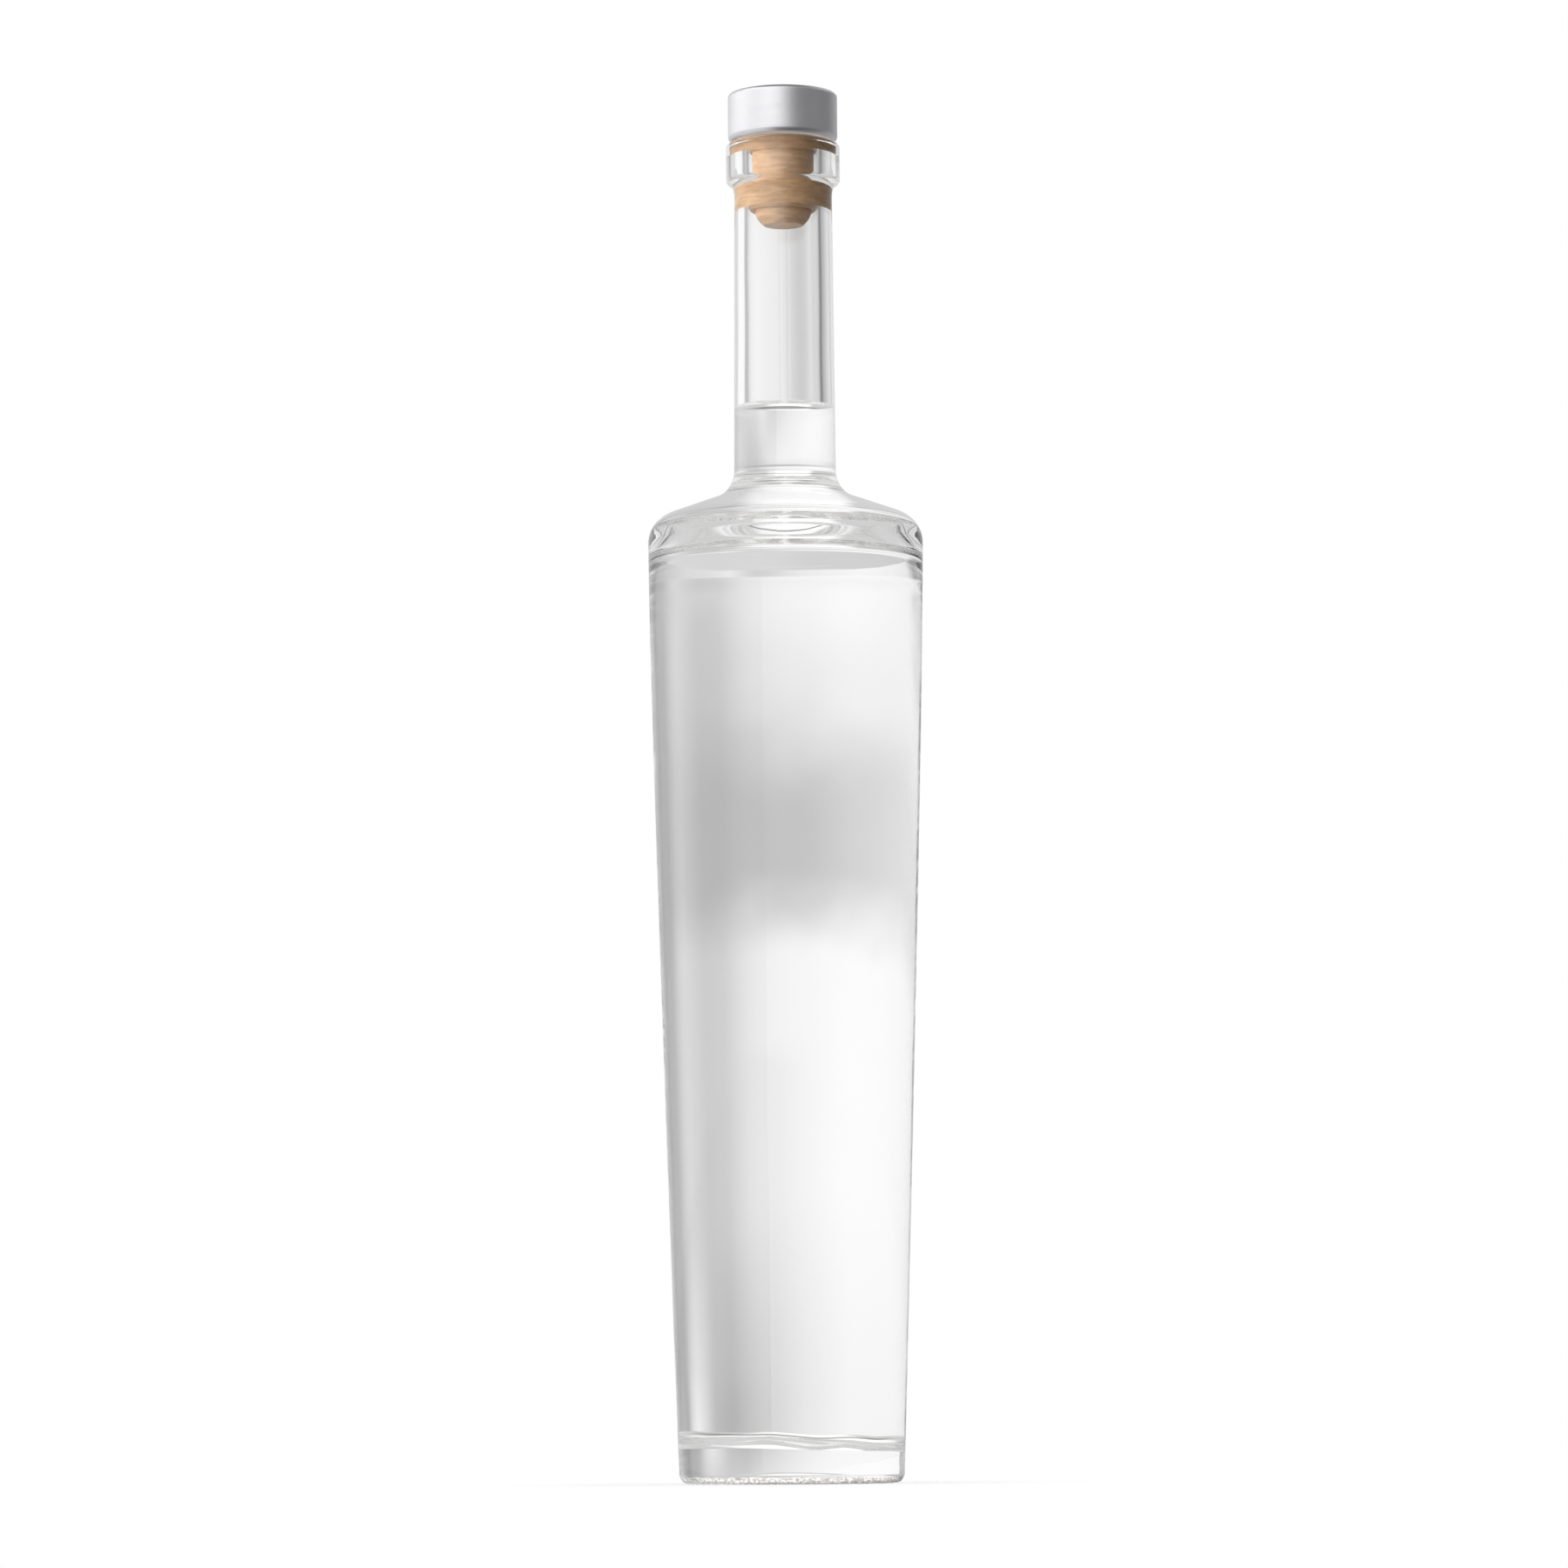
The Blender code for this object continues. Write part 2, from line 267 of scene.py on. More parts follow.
# Studio: the soft grey cloud, which sags to both sides and wanders a little
CLOUD_RISE = (5.27, 6.02)
CLOUD_FALL = (6.55, 7.45)
CLOUD_TAIL = (7.2, 8.3)
CLOUD_TAIL_SHARE = 0.3
CLOUD_SAG = 0.0003
CLOUD_SAG_LIMIT = 1500
CLOUD_WANDER = 0.5
CLOUD_WANDER_STRETCH = (1, 1, 4)
CLOUD_WANDER_SCALE = 1.6
CLOUD_SHARES = (
    (-180, 0.15), (-60, 0.20), (-38, 0.25), (-16, 0.35), (-3, 0.44), (6, 0.43), (16, 0.28), (33, 0.18),
    (50, 0.10), (180, 0.0))

# Studio: the ceiling over the cards
CEILING_TONE = 0.62
METAL_CEILING_TONES = (
    (-180, 1.2), (-160, 1.4), (-95, 1.4), (-70, 0.80), (-50, 0.62), (60, 0.62), (90, 0.38), (150, 0.34),
    (172, 0.90), (180, 1.2))
CEILING_UNIT = 2.0
ZENITH = (52, 62)
ZENITH_TONE = 0.14

# Studio: the ground, which goes on from the floor's edge
GROUND_TONES = (
    (-180, 0.98), (-165, 0.92), (-150, 0.70), (-125, 0.88), (-70, 0.88), (-48, 0.63), (-17, 0.61),
    (-13, 1.08), (-4, 1.08), (6, 0.95), (11, 0.60), (18, 0.56), (40, 0.56), (68, 0.86), (125, 0.86),
    (150, 0.68), (165, 0.85), (180, 0.98))
METAL_GROUND_TONES = (
    (-180, 0.16), (-166, 0.20), (-140, 0.80), (-60, 0.80), (0, 0.60), (60, 0.40), (90, 0.20), (150, 0.12),
    (180, 0.16))
HORIZON = (0.0, -0.4)
FAR_GROUND_START = (-10.2, -9.6)
FAR_GROUND_END = (-8.5, -7.9)
FAR_GROUND_SHARE = 0.30

# Studio: the light that reaches the stopper through the glass
INNER_LIGHT = (
    (-180, 0.45), (-162, 1.3), (-140, 4.5), (-90, 5.4), (-70, 3.1), (-45, 1.2), (0, 0.7), (30, 0.42),
    (60, 0.16), (150, 0.12), (170, 0.18), (180, 0.45))
INNER_LIGHT_UNIT = 5.4
INNER_GROUND_SHARE = 0.42

# Floor: its paint, its white glow, a shade behind the bottle and one close to the foot
FLOOR_HALF = 0.45
FLOOR_SINK = 0.0001
FLOOR_COLOUR = (0.86, 0.86, 0.86, 1)
FLOOR_WHITE_REACH = (0.03, 0.09)
FLOOR_WHITE_SHARE = 0.72
SHADE_COLOUR = (1.0, 0.97, 0.80, 1)
SHADE_SHARE = 0.42
SHADE_SIDES = (16, 32)
SHADE_START = (0.095, 0.110)
SHADE_END = (0.17, 0.23)
CONTACT_SHARE = 0.92
CONTACT_REACH = (0.030, 0.036)

RAY_DEPTH = 128

RING_BOTTOM = MOUTH - RING_HEIGHT
NECK_TOP = RING_BOTTOM - RING_FLARE_HEIGHT
PUNT_RADIUS = BASE_RADIUS - HEEL_RADIUS - BEARING_WIDTH
SEAL_TOP = HEAD_BOTTOM - SHANK_LENGTH
SEAL_BOTTOM = SEAL_TOP - SEAL_LENGTH
NOSE_END = SHANK_LOW.z
CORNER_CENTRE = (SHOULDER_RADIUS - CORNER_RADIUS, BODY_HEIGHT)
SEAM_ANGLES = (SEAM_ANGLE, SEAM_ANGLE + math.pi)
EVEN_ANGLES = [2 * math.pi * side / SIDES for side in range(SIDES)]


def on_arc(centre, radius, angle):
    """Point of a round edge, at an angle from the outward direction."""
    return (centre[0] + radius * math.cos(angle), centre[1] + radius * math.sin(angle))


def arc(centre, radius, start, end, steps=ARC_STEPS):
    """Points of a round edge between two angles."""
    return [on_arc(centre, radius, start + (end - start) * step / steps) for step in range(steps + 1)]


def bend(start, control, end, steps):
    """Points of a gentle curve that leaves start and reaches end in line with control."""
    points = []
    for step in range(steps + 1):
        t = step / steps
        weights = ((1 - t) ** 2, 2 * t * (1 - t), t ** 2)
        pairs = list(zip(weights, (start, control, end)))
        points.append((sum(w * p[0] for w, p in pairs), sum(w * p[1] for w, p in pairs)))
    return points


def run(start, end, steps):
    """Points along a straight line, without its first one."""
    shares = [step / steps for step in range(1, steps + 1)]
    return [(start[0] + (end[0] - start[0]) * s, start[1] + (end[1] - start[1]) * s) for s in shares]


def smooth_share(value, low, high):
    """Share from 0 at low to 1 at high, with soft ends."""
    share = min(1, max(0, (value - low) / (high - low)))
    return share * share * (3 - 2 * share)


def fillet_centre():
    """Centre of the hollow curve between the shoulder's cone and the neck."""
    cone_start = on_arc(CORNER_CENTRE, CORNER_RADIUS, math.pi / 2 - SHOULDER_SLOPE)
    centre_radius = NECK_BOTTOM_RADIUS + NECK_FILLET_RADIUS
    along = cone_start[0] + NECK_FILLET_RADIUS * math.sin(SHOULDER_SLOPE) - centre_radius
    cone_end = cone_start[1] + along * math.tan(SHOULDER_SLOPE)
    return (centre_radius, cone_end + NECK_FILLET_RADIUS * math.cos(SHOULDER_SLOPE))


FILLET_CENTRE = fillet_centre()


def bore_radius(height):
    """Radius of the neck's bore, which widens evenly from the lip down."""
    share = (MOUTH - height) / (MOUTH - FILLET_CENTRE[1])
    return BORE_TOP_RADIUS + (BORE_BOTTOM_RADIUS - BORE_TOP_RADIUS) * share


def side_line(inset_top, inset_bottom, bottom):
    """Side of the body from the shoulder down to a height, inside the outer face by two walls."""
    swell_radius = BASE_RADIUS + (SHOULDER_RADIUS - BASE_RADIUS) * SWELL_RADIUS_SHARE
    swell_inset = inset_bottom + (inset_top - inset_bottom) * SWELL_HEIGHT_SHARE
    top = (SHOULDER_RADIUS - inset_top, BODY_HEIGHT)
    control = (swell_radius - swell_inset, BODY_HEIGHT * SWELL_HEIGHT_SHARE)
    base = (BASE_RADIUS - inset_bottom, 0)
    return [point for point in bend(top, control, base, SIDE_STEPS) if point[1] > bottom]


def shoulder_line():
    """Outer face of the shoulder, from the top of the side to the foot of the neck."""
    corner = arc(CORNER_CENTRE, CORNER_RADIUS, 0, math.pi / 2 - SHOULDER_SLOPE)
    fillet = arc(FILLET_CENTRE, NECK_FILLET_RADIUS, -math.pi / 2 - SHOULDER_SLOPE, -math.pi)
    return corner + run(corner[-1], fillet[0], ARC_STEPS)[:-1] + fillet


def cavity_roof(inset):
    """Thick shoulder from inside: a round corner, a steep cone and the hollow curve into the bore."""
    corner_radius = CAVITY_CORNER_RADIUS - inset
    centre = (SHOULDER_RADIUS - SHOULDER_WALL - CAVITY_CORNER_RADIUS, CAVITY_CORNER_HEIGHT)
    fillet_radius = NECK_FILLET_RADIUS + NECK_BOTTOM_RADIUS - BORE_BOTTOM_RADIUS + inset
    across = (FILLET_CENTRE[0] - centre[0], FILLET_CENTRE[1] - centre[1])
    lean = math.asin((corner_radius + fillet_radius) / math.hypot(*across))
    turn = math.atan2(across[1], across[0]) + lean - math.pi / 2
    corner = arc(centre, corner_radius, 0, turn)
    fillet = arc(FILLET_CENTRE, fillet_radius, turn - math.pi, -math.pi)
    return corner + run(corner[-1], fillet[0], ARC_STEPS)[:-1] + fillet


def cavity_line(inset):
    """Inside of the glass from the middle of the floor up to the foot of the neck."""
    wall = HEEL_WALL + inset
    corner = FLOOR_CORNER_RADIUS
    floor = FLOOR_HEIGHT + inset
    taper = (SHOULDER_RADIUS - BASE_RADIUS) / BODY_HEIGHT
    edge = BASE_RADIUS - wall + (floor + corner) * taper
    centre = (edge - corner, floor + corner)
    top = floor + FLOOR_DOME
    dome = bend((0, top), (centre[0] / 2, top), (centre[0], floor), ARC_STEPS)
    heel = arc(centre, corner, -math.pi / 2, 0)
    side = side_line(SHOULDER_WALL + inset, wall, floor + corner * 2)
    side = [point for point in side if point[1] < CAVITY_CORNER_HEIGHT]
    return dome + heel[1:] + side[::-1] + cavity_roof(inset)


def lip_line():
    """Lip, finish ring and the flare under it, from the top of the bore to the top of the neck."""
    lip_centre = (BORE_TOP_RADIUS + LIP_EDGE_RADIUS, MOUTH - LIP_EDGE_RADIUS)
    lip = arc(lip_centre, LIP_EDGE_RADIUS, math.pi, math.pi / 2)[1:]
    ring_top = (RING_RADIUS - RING_EDGE_RADIUS, MOUTH - RING_EDGE_RADIUS)
    ring = arc(ring_top, RING_EDGE_RADIUS, math.pi / 2, 0)
    ring_foot = (ring_top[0], RING_BOTTOM + RING_EDGE_RADIUS)
    ring += arc(ring_foot, RING_EDGE_RADIUS, 0, -math.pi / 4)
    flare = bend(ring[-1], (NECK_TOP_RADIUS, RING_BOTTOM), (NECK_TOP_RADIUS, NECK_TOP), ARC_STEPS)[1:]
    return lip + ring + flare


def foot_line():
    """Heel, bearing ring and punt, from the foot of the side in to the axis."""
    heel = arc((BASE_RADIUS - HEEL_RADIUS, HEEL_RADIUS), HEEL_RADIUS, 0, -math.pi / 2)
    bearing = run(heel[-1], (PUNT_RADIUS, 0), ARC_STEPS // 2)
    control = (PUNT_RADIUS * PUNT_EDGE_SHARE, PUNT_DEPTH)
    return heel + bearing + bend((PUNT_RADIUS, 0), control, (0, PUNT_DEPTH), ARC_STEPS)[1:]


def glass_outline():
    """Outline of the glass from its floor inside, over the lip, to the punt, and its count of wet points."""
    cavity = cavity_line(0)
    wet_top = FILL_LINE + MENISCUS_RISE
    wet = cavity + run(cavity[-1], (bore_radius(wet_top), wet_top), ARC_STEPS)
    dry = run(wet[-1], (BORE_TOP_RADIUS, MOUTH - LIP_EDGE_RADIUS), SIDE_STEPS)
    lip = lip_line()
    shoulder = shoulder_line()[::-1]
    neck = run(lip[-1], shoulder[0], SIDE_STEPS)[:-1]
    side = side_line(0, 0, HEEL_RADIUS * 2)[1:]
    return wet + dry + lip + neck + shoulder + side + foot_line(), len(wet)


def true_place(radius, height, angle):
    """Place of a point on a true solid of revolution."""
    return Vector((radius * math.cos(angle), radius * math.sin(angle), height))


def wall_wave(height, angle):
    """How far the inner wall strays from its true radius."""
    spot = true_place(WALL_WAVE_CIRCLE, height / WALL_WAVE_HEIGHT, angle)
    return noise.noise(spot) * WALL_WAVE * smooth_share(height, MOUTH, BODY_HEIGHT)


def floor_lift(radius, height, angle):
    """How far the floor is tipped up or down, fading out up the wall."""
    tilt = -radius * math.cos(angle) * math.tan(FLOOR_TILT)
    ripple = noise.noise(true_place(radius, 0, angle) / FLOOR_RIPPLE_SIZE) * FLOOR_RIPPLE
    fade_start = FLOOR_HEIGHT + FLOOR_CORNER_RADIUS / 2
    fade_end = FLOOR_HEIGHT + FLOOR_CORNER_RADIUS + FLOOR_TILT_REACH
    return (tilt + ripple) * (1 - smooth_share(height, fade_start, fade_end))


def cavity_place(radius, height, angle):
    """Where a point of the cavity's wall or floor really lies."""
    true_radius = radius + (wall_wave(height, angle) if radius > BORE_TOP_RADIUS / 2 else 0)
    return true_place(true_radius, height + floor_lift(radius, height, angle), angle)


def seam_ridge(radius, angle):
    """Height of the two fine lines where the halves of the mould met."""
    ridge = 0
    for seam in SEAM_ANGLES:
        off = math.remainder(angle - seam, 2 * math.pi) * radius
        ridge += SEAM_RISE * math.exp(-(off / SEAM_HALF_WIDTH) ** 2)
    return ridge


def stipple_dent(radius, angle):
    """Depth of the pits that are moulded into the bearing ring, in two staggered rows."""
    outer_edge = BASE_RADIUS - HEEL_RADIUS * STIPPLE_EDGE_SHARE
    if not PUNT_RADIUS < radius < outer_edge:
        return 0
    middle = (outer_edge + PUNT_RADIUS) / 2
    row = 0 if radius > middle else math.pi / STIPPLES
    across = math.sin((radius - PUNT_RADIUS) / (outer_edge - PUNT_RADIUS) * 2 * math.pi) ** 2
    return STIPPLE_DEPTH * across * (0.5 + 0.5 * math.cos((angle + row) * STIPPLES))


def heel_pit(radius, height, angle):
    """Depth of the uneven pits round the heel."""
    if radius < BASE_RADIUS - HEEL_RADIUS or height > HEEL_RADIUS:
        return 0
    spot = true_place(radius, height, angle) / HEEL_PIT_SIZE
    fade_start, fade_end = (HEEL_RADIUS * share for share in HEEL_PIT_FADE_SHARES)
    fade = 1 - smooth_share(height, fade_start, fade_end)
    return HEEL_PIT_DEPTH * (0.5 + 0.5 * noise.noise(spot)) * fade


def skin_place(radius, height, angle):
    """Where a point of the glass's outer face really lies."""
    skin = 0
    if HEEL_RADIUS < height <= RING_BOTTOM and radius > NECK_TOP_RADIUS / 2:
        spot = true_place(SKIN_WAVE_CIRCLE, height / SKIN_WAVE_HEIGHT, angle)
        skin = (noise.noise(spot) - 1) * SKIN_WAVE + seam_ridge(radius, angle) - SEAM_RISE
    dent = stipple_dent(radius, angle) if height < HEEL_RADIUS / 2 else 0
    true_radius = radius + skin - heel_pit(radius, height, angle)
    return true_place(true_radius, height + dent, angle)


def turning_angles():
    """Even angles round the axis, with a few more across each seam."""
    pitch = 2 * math.pi / SIDES
    angles = [pitch * side for side in range(SIDES)]
    for seam in SEAM_ANGLES:
        for step in range(-SEAM_STEPS, SEAM_STEPS + 1):
            angles.append((seam + step * pitch * SEAM_STEP_SHARE) % (2 * math.pi))
    angles.sort()
    kept = [angles[0]]
    for angle in angles[1:]:
        if angle - kept[-1] > pitch * SHORTEST_STEP_SHARE:
            kept.append(angle)
    return kept


def add_object(name, data):
    """New object in the scene, from a mesh, a lamp or a camera."""
    item = bpy.data.objects.new(name, data)
    bpy.context.scene.collection.objects.link(item)
    return item


def join_rings(model, first, second, sides, slot):
    """Faces between two rings of points, where a ring may be a single point on the axis."""
    for side in range(sides):
        after = (side + 1) % sides
        corners = [first[side % len(first)], second[side % len(second)]]
        corners += [second[after % len(second)], first[after % len(first)]]
        face = model.faces.new(list(dict.fromkeys(corners)))
        face.material_index = slot


def turned(name, outline, angles=EVEN_ANGLES, place_at=lambda step: true_place, slot_at=lambda step: 0):
    """Closed mesh turned about the Z axis from an outline of (radius, height) points."""
    model = bmesh.new()
    rings = []
    for step, (radius, height) in enumerate(outline):
        place = place_at(step)
        if radius < WELD:
            rings.append([model.verts.new(place(0, height, 0))])
        else:
            rings.append([model.verts.new(place(radius, height, angle)) for angle in angles])
    for step, (first, second) in enumerate(zip(rings, rings[1:])):
        join_rings(model, first, second, len(angles), slot_at(step))
    bmesh.ops.recalc_face_normals(model, faces=model.faces)
    mesh = bpy.data.meshes.new(name)
    model.to_mesh(mesh)
    model.free()
    mesh.shade_smooth()
    mesh.set_sharp_from_angle(angle=CREASE_ANGLE)
    return add_object(name, mesh)


def make_glass():
    """Glass with its wavy inner wall, tipped floor, seams and stippled bearing ring."""
    outline, wet_count = glass_outline()
    lip_bottom = MOUTH - LIP_EDGE_RADIUS
    inner_count = next(step for step, point in enumerate(outline) if point[1] >= lip_bottom)
    return turned("bottle_glass", outline, turning_angles(),
                  place_at=lambda step: cavity_place if step < inner_count else skin_place,
                  slot_at=lambda step: int(step < wet_count - 1))


def spirit_outline():
    """Outline of the spirit, up its wet wall and in over the curved free surface, and its wall's count."""
    wall = cavity_line(WET_GAP)
    wet_top = FILL_LINE + MENISCUS_RISE
    edge = bore_radius(wet_top) - WET_GAP
    wall += run(wall[-1], (edge, wet_top), ARC_STEPS)
    top = []
    steps = ARC_STEPS * 2
    for step in range(1, steps + 1):
        off = edge * (step / steps) ** 2
        rise = MENISCUS_RISE * math.exp(-off / MENISCUS_WIDTH)
        top.append((max(0, edge - off), FILL_LINE + rise))
    return wall + top, len(wall)


def make_spirit():
    """Spirit that wets the glass, with a free surface drawn up at its edge."""
    outline, wall_count = spirit_outline()
    return turned("bottle_spirit", outline, turning_angles(),
                  place_at=lambda step: cavity_place if step < wall_count else true_place,
                  slot_at=lambda step: int(step < wall_count - 1))


def make_cap():
    """Drawn aluminium shell with a round top edge and a rim turned in."""
    top_edge = (CAP_RADIUS - CAP_EDGE_RADIUS, CAP_TOP - CAP_EDGE_RADIUS)
    rim = (CAP_RADIUS - CAP_RIM_RADIUS, HEAD_BOTTOM + CAP_RIM_RADIUS)
    outside = [(0, CAP_TOP)] + run((0, CAP_TOP), (top_edge[0], CAP_TOP), ARC_STEPS)[:-1]
    outside += arc(top_edge, CAP_EDGE_RADIUS, math.pi / 2, 0)
    outside += run(outside[-1], (CAP_RADIUS, rim[1]), ARC_STEPS)[:-1]
    outside += arc(rim, CAP_RIM_RADIUS, 0, -math.pi / 2)
    inside = arc(rim, CAP_RIM_RADIUS - CAP_WALL, -math.pi / 2, 0)
    inside += arc(top_edge, CAP_EDGE_RADIUS - CAP_WALL, 0, math.pi / 2)
    return turned("cap_aluminium", outside + inside + [(0, CAP_TOP - CAP_WALL)])


def make_head():
    """Moulded core that fills the shell and rests on the lip, with a socket for the spigot."""
    radius = CAP_RADIUS - CAP_WALL - TOUCH_GAP
    top = CAP_TOP - CAP_WALL - TOUCH_GAP
    bottom = MOUTH + TOUCH_GAP
    edge = CAP_EDGE_RADIUS - CAP_WALL
    rim = CAP_RIM_RADIUS - CAP_WALL
    socket_radius = SPIGOT_RADIUS + TOUCH_GAP
    socket_top = SHANK_HIGH.z + TOUCH_GAP
    outline = [(0, top)] + arc((radius - edge, top - edge), edge, math.pi / 2, 0)
    outline += arc((radius - rim, HEAD_BOTTOM + CAP_RIM_RADIUS), rim, 0, -math.pi / 2)
    outline += [(radius - rim - TOUCH_GAP, HEAD_BOTTOM + CAP_WALL / 2)]
    outline += arc((radius - rim * 2, bottom + rim / 2), rim / 2, 0, -math.pi / 2, ARC_STEPS // 2)
    outline += run(outline[-1], (socket_radius, bottom), ARC_STEPS)
    outline += [(socket_radius, socket_top), (0, socket_top)]
    return turned("stopper_core", outline)


def band_outline():
    """Sealing band with its bevelled ends and a shallow groove pressed in between its ribs."""
    top_radius = bore_radius(SEAL_TOP) + SEAL_PRESS
    bottom_radius = bore_radius(SEAL_BOTTOM) + SEAL_PRESS
    pitch = SEAL_LENGTH / SEAL_RIBS
    points = [(top_radius - BAND_EDGE, SEAL_TOP), (top_radius, SEAL_TOP - BAND_EDGE)]
    for groove in range(1, SEAL_RIBS):
        share = groove / SEAL_RIBS
        radius = top_radius + (bottom_radius - top_radius) * share
        middle = SEAL_TOP - pitch * groove
        points += bend((radius, middle + GROOVE_HALF_WIDTH), (radius - GROOVE_DEPTH * 2, middle),
                       (radius, middle - GROOVE_HALF_WIDTH), ARC_STEPS)
    return points + [(bottom_radius, SEAL_BOTTOM + BAND_EDGE), (bottom_radius - BAND_EDGE, SEAL_BOTTOM)]


def make_shank():
    """Moulded shank: spigot, collar under the head, slim part, ribbed sealing band and round nose."""
    collar = BORE_TOP_RADIUS + SEAL_PRESS
    collar_bottom = HEAD_BOTTOM - COLLAR_LENGTH
    spigot_top = SHANK_HIGH.z
    outline = [(0, spigot_top), (SPIGOT_RADIUS, spigot_top), (SPIGOT_RADIUS, MOUTH), (collar, MOUTH)]
    outline += run(outline[-1], (collar, collar_bottom + COLLAR_EDGE), ARC_STEPS)
    outline += [(collar - COLLAR_EDGE, collar_bottom), (SHANK_RADIUS, collar_bottom)]
    outline += run(outline[-1], (SHANK_RADIUS, SEAL_TOP), ARC_STEPS)
    outline += band_outline()
    outline += bend((NOSE_TOP_RADIUS, SEAL_BOTTOM), (NOSE_TOP_RADIUS, (SEAL_BOTTOM + NOSE_END) / 2),
                    (NOSE_END_RADIUS, NOSE_END), ARC_STEPS)
    outline += [(NOSE_END_RADIUS * NOSE_RIM_SHARE, NOSE_END), (0, NOSE_END + NOSE_END_DISH)]
    return turned("stopper_plug", outline)


class Nodes:
    """A material's or world's node tree, with short calls that add and link nodes."""

    def __init__(self, tree):
        self.tree = tree
        self.tree.nodes.clear()

    def add(self, kind, settings=None, **inputs):
        """Add a node, set its properties, and set or link its inputs by name."""
        node = self.tree.nodes.new(kind)
        for key, value in (settings or {}).items():
            setattr(node, key, value)
        for key, value in inputs.items():
            self.feed(node.inputs[key.replace("_", " ")], value)
        return node

    def feed(self, socket, value):
        """Link an output to a socket, or set the socket's own value."""
        if isinstance(value, bpy.types.NodeSocket):
            self.tree.links.new(value, socket)
        else:
            socket.default_value = value

    def math(self, operation, *values, clamp=False):
        """Output of a Math node."""
        node = self.tree.nodes.new("ShaderNodeMath")
        node.operation = operation
        node.use_clamp = clamp
        for socket, value in zip(node.inputs, values):
            self.feed(socket, value)
        return node.outputs[0]

    def smooth(self, value, low, high, out_low=0, out_high=1):
        """Soft step of a value between two limits, which may be outputs."""
        node = self.add("ShaderNodeMapRange", {"interpolation_type": "SMOOTHSTEP"}, Value=value)
        limits = {"From Min": low, "From Max": high, "To Min": out_low, "To Max": out_high}
        for name, limit in limits.items():
            self.feed(node.inputs[name], limit)
        return node.outputs["Result"]

    def blend(self, share, first, second):
        """Number between two numbers."""
        node = self.tree.nodes.new("ShaderNodeMix")
        for socket, value in zip(node.inputs[:1] + node.inputs[2:4], (share, first, second)):
            self.feed(socket, value)
        return node.outputs[0]

    def tint(self, share, first, second):
        """Colour between two colours."""
        node = self.tree.nodes.new("ShaderNodeMix")
        node.data_type = "RGBA"
        for socket, value in zip(node.inputs[:1] + node.inputs[6:8], (share, first, second)):
            self.feed(socket, value)
        return node.outputs[2]

    def weigh(self, first, second, share):
        """Sum of two numbers, where the first has a share and the second the rest."""
        rest = self.math("MULTIPLY", second, 1 - share)
        return self.math("ADD", self.math("MULTIPLY", first, share), rest)

    def place(self):
        """Position in the object's own space."""
        return self.add("ShaderNodeTexCoord").outputs["Object"]

    def parts(self, place):
        """X, Y and Z of a place or a direction."""
        return self.add("ShaderNodeSeparateXYZ", Vector=place).outputs

    def azimuth(self, place):
        """Angle of a place or a direction round the axis, in degrees from straight behind the bottle."""
        parts = self.parts(place)
        return self.math("DEGREES", self.math("ARCTAN2", parts["X"], parts["Y"]))

    def rays(self):
        """What kind of ray asks, and how many turns it has taken."""
        return self.add("ShaderNodeLightPath").outputs

    def stretched(self, place, scale):
        """Place scaled by axis, so that a texture stretches."""
        return self.add("ShaderNodeMapping", Vector=place, Scale=scale).outputs["Vector"]

    def noise(self, place, scale, detail, roughness=0.5):
        """Fractal noise over a place."""
        node = self.add("ShaderNodeTexNoise", Vector=place, Scale=scale, Detail=detail, Roughness=roughness)
        return node.outputs["Fac"]

    def texture(self, stretch, *look):
        """Fractal noise over the object, stretched by axis."""
        return self.noise(self.stretched(self.place(), stretch), *look)


def new_material(name):
    """Empty material with its node helper."""
    material = bpy.data.materials.new(name)
    material.use_nodes = True
    return material, Nodes(material.node_tree)


def finish_material(material, nodes, relief=None, relief_height=0.0, **sockets):
    """Principled surface with its sockets and an optional fine relief."""
    shader = nodes.add("ShaderNodeBsdfPrincipled")
    for name, value in sockets.items():
        nodes.feed(shader.inputs[name.replace("_", " ")], value)
    if relief is not None:
        bump = nodes.add("ShaderNodeBump", Height=relief, Distance=relief_height)
        nodes.feed(shader.inputs["Normal"], bump.outputs["Normal"])
    nodes.add("ShaderNodeOutputMaterial", Surface=shader.outputs["BSDF"])
    return material


def painted_heel_shade(nodes):
    """Share of painted grey-brown shade in the stippled foot, which fades out above the bearing ring."""
    height = nodes.parts(nodes.place())["Z"]
    heel_shade = nodes.smooth(nodes.texture(*HEEL_SHADE_TEXTURE), *HEEL_SHADE_SHARES)
    return nodes.math("MULTIPLY", heel_shade, nodes.smooth(height, *HEEL_SHADE_HEIGHTS, 1.0, 0.0))


def glass_material(name, index):
    """Clear flint glass with a faint ripple and a trace of haze, for one of its two kinds of face."""
    material, nodes = new_material(name)
    heel_shade = painted_heel_shade(nodes)
    colour = nodes.tint(nodes.texture(*GLASS_TONE), *GLASS_COLOURS)
    # Painted shade: the stippled foot is tinted grey-brown in place of the contact shade seen through the
    # heel, and made rougher.
    colour = nodes.tint(heel_shade, colour, HEEL_SHADE_COLOUR)
    haze = nodes.smooth(nodes.texture(*GLASS_HAZE), *HAZE_SHARES, 0.0, HAZE_ROUGHNESS)
    roughness = nodes.math("MULTIPLY_ADD", heel_shade, STIPPLED_FOOT_ROUGHNESS, haze)
    return finish_material(material, nodes, nodes.texture(*GLASS_RIPPLE), GLASS_RELIEF, Base_Color=colour,
                           Roughness=roughness, Transmission_Weight=1.0, IOR=index)


